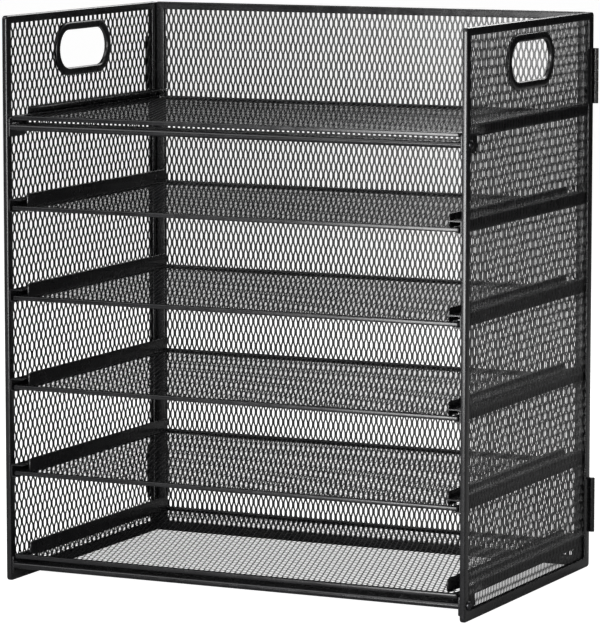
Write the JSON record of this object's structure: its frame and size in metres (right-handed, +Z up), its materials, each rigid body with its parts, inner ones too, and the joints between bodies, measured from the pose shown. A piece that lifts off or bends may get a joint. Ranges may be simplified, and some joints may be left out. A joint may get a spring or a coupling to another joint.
{
  "type": "desktop file sorter",
  "caption": "Upright desktop paper sorter: framed steel mesh sides and back with sliding walled mesh trays, a flat top shelf and hand openings.",
  "frame": {"origin": "middle of the footprint on the surface that the sorter stands on", "axes": "+Z up, -Y towards the open front that the trays slide out of, +X towards the right side panel seen from the front"},
  "size_m": [0.3274, 0.208, 0.3625],
  "materials": {
    "black_frame_coat": "satin black powder coat, finely textured",
    "black_mesh": "satin black powder coat on expanded steel sheet",
    "black_tray_coat": "satin black powder coat, worn a little smoother on the sliding edges",
    "black_screw_steel": "blackened steel"
  },
  "bodies": {
    "frame": {"right_side_frame": "black_frame_coat", "right_side_mesh": "black_mesh", "right_handle_ring": "black_frame_coat", "left_side_frame": "black_frame_coat", "left_side_mesh": "black_mesh", "left_handle_ring": "black_frame_coat", "back_frame": "black_frame_coat", "back_mesh": "black_mesh", "top_cross_bar": "black_frame_coat", "bottom_cross_bar": "black_frame_coat", "cross_bar_screws": "black_screw_steel", "right_rail_1": "black_frame_coat", "right_rail_2": "black_frame_coat", "right_rail_3": "black_frame_coat", "right_rail_4": "black_frame_coat", "right_rail_5": "black_frame_coat", "right_rail_6": "black_frame_coat", "left_rail_1": "black_frame_coat", "left_rail_2": "black_frame_coat", "left_rail_3": "black_frame_coat", "left_rail_4": "black_frame_coat", "left_rail_5": "black_frame_coat", "left_rail_6": "black_frame_coat", "upper_right_hinge_side_leaf": "black_frame_coat", "upper_right_hinge_back_leaf": "black_frame_coat", "upper_left_hinge_side_leaf": "black_frame_coat", "upper_left_hinge_back_leaf": "black_frame_coat", "lower_right_hinge_side_leaf": "black_frame_coat", "lower_right_hinge_back_leaf": "black_frame_coat", "lower_left_hinge_side_leaf": "black_frame_coat", "lower_left_hinge_back_leaf": "black_frame_coat", "hinge_pins": "black_screw_steel"},
    "tray_1": {"tray_1_rim": "black_tray_coat", "tray_1_mesh": "black_mesh", "tray_1_right_wall": "black_tray_coat", "tray_1_left_wall": "black_tray_coat"},
    "tray_2": {"tray_2_rim": "black_tray_coat", "tray_2_mesh": "black_mesh", "tray_2_right_wall": "black_tray_coat", "tray_2_left_wall": "black_tray_coat"},
    "tray_3": {"tray_3_rim": "black_tray_coat", "tray_3_mesh": "black_mesh", "tray_3_right_wall": "black_tray_coat", "tray_3_left_wall": "black_tray_coat"},
    "tray_4": {"tray_4_rim": "black_tray_coat", "tray_4_mesh": "black_mesh", "tray_4_right_wall": "black_tray_coat", "tray_4_left_wall": "black_tray_coat"},
    "tray_5": {"tray_5_rim": "black_tray_coat", "tray_5_mesh": "black_mesh", "tray_5_right_wall": "black_tray_coat", "tray_5_left_wall": "black_tray_coat"},
    "tray_6": {"tray_6_rim": "black_tray_coat", "tray_6_mesh": "black_mesh"}
  },
  "joints": [
    {"name": "tray_1_slide", "type": "slide", "parent": "frame", "child": "tray_1", "axis": [0, -1, 0], "range_m": [0, 0.15]},
    {"name": "tray_2_slide", "type": "slide", "parent": "frame", "child": "tray_2", "axis": [0, -1, 0], "range_m": [0, 0.15]},
    {"name": "tray_3_slide", "type": "slide", "parent": "frame", "child": "tray_3", "axis": [0, -1, 0], "range_m": [0, 0.15]},
    {"name": "tray_4_slide", "type": "slide", "parent": "frame", "child": "tray_4", "axis": [0, -1, 0], "range_m": [0, 0.15]},
    {"name": "tray_5_slide", "type": "slide", "parent": "frame", "child": "tray_5", "axis": [0, -1, 0], "range_m": [0, 0.15]},
    {"name": "tray_6_slide", "type": "slide", "parent": "frame", "child": "tray_6", "axis": [0, -1, 0], "range_m": [0, 0.15]}
  ]
}
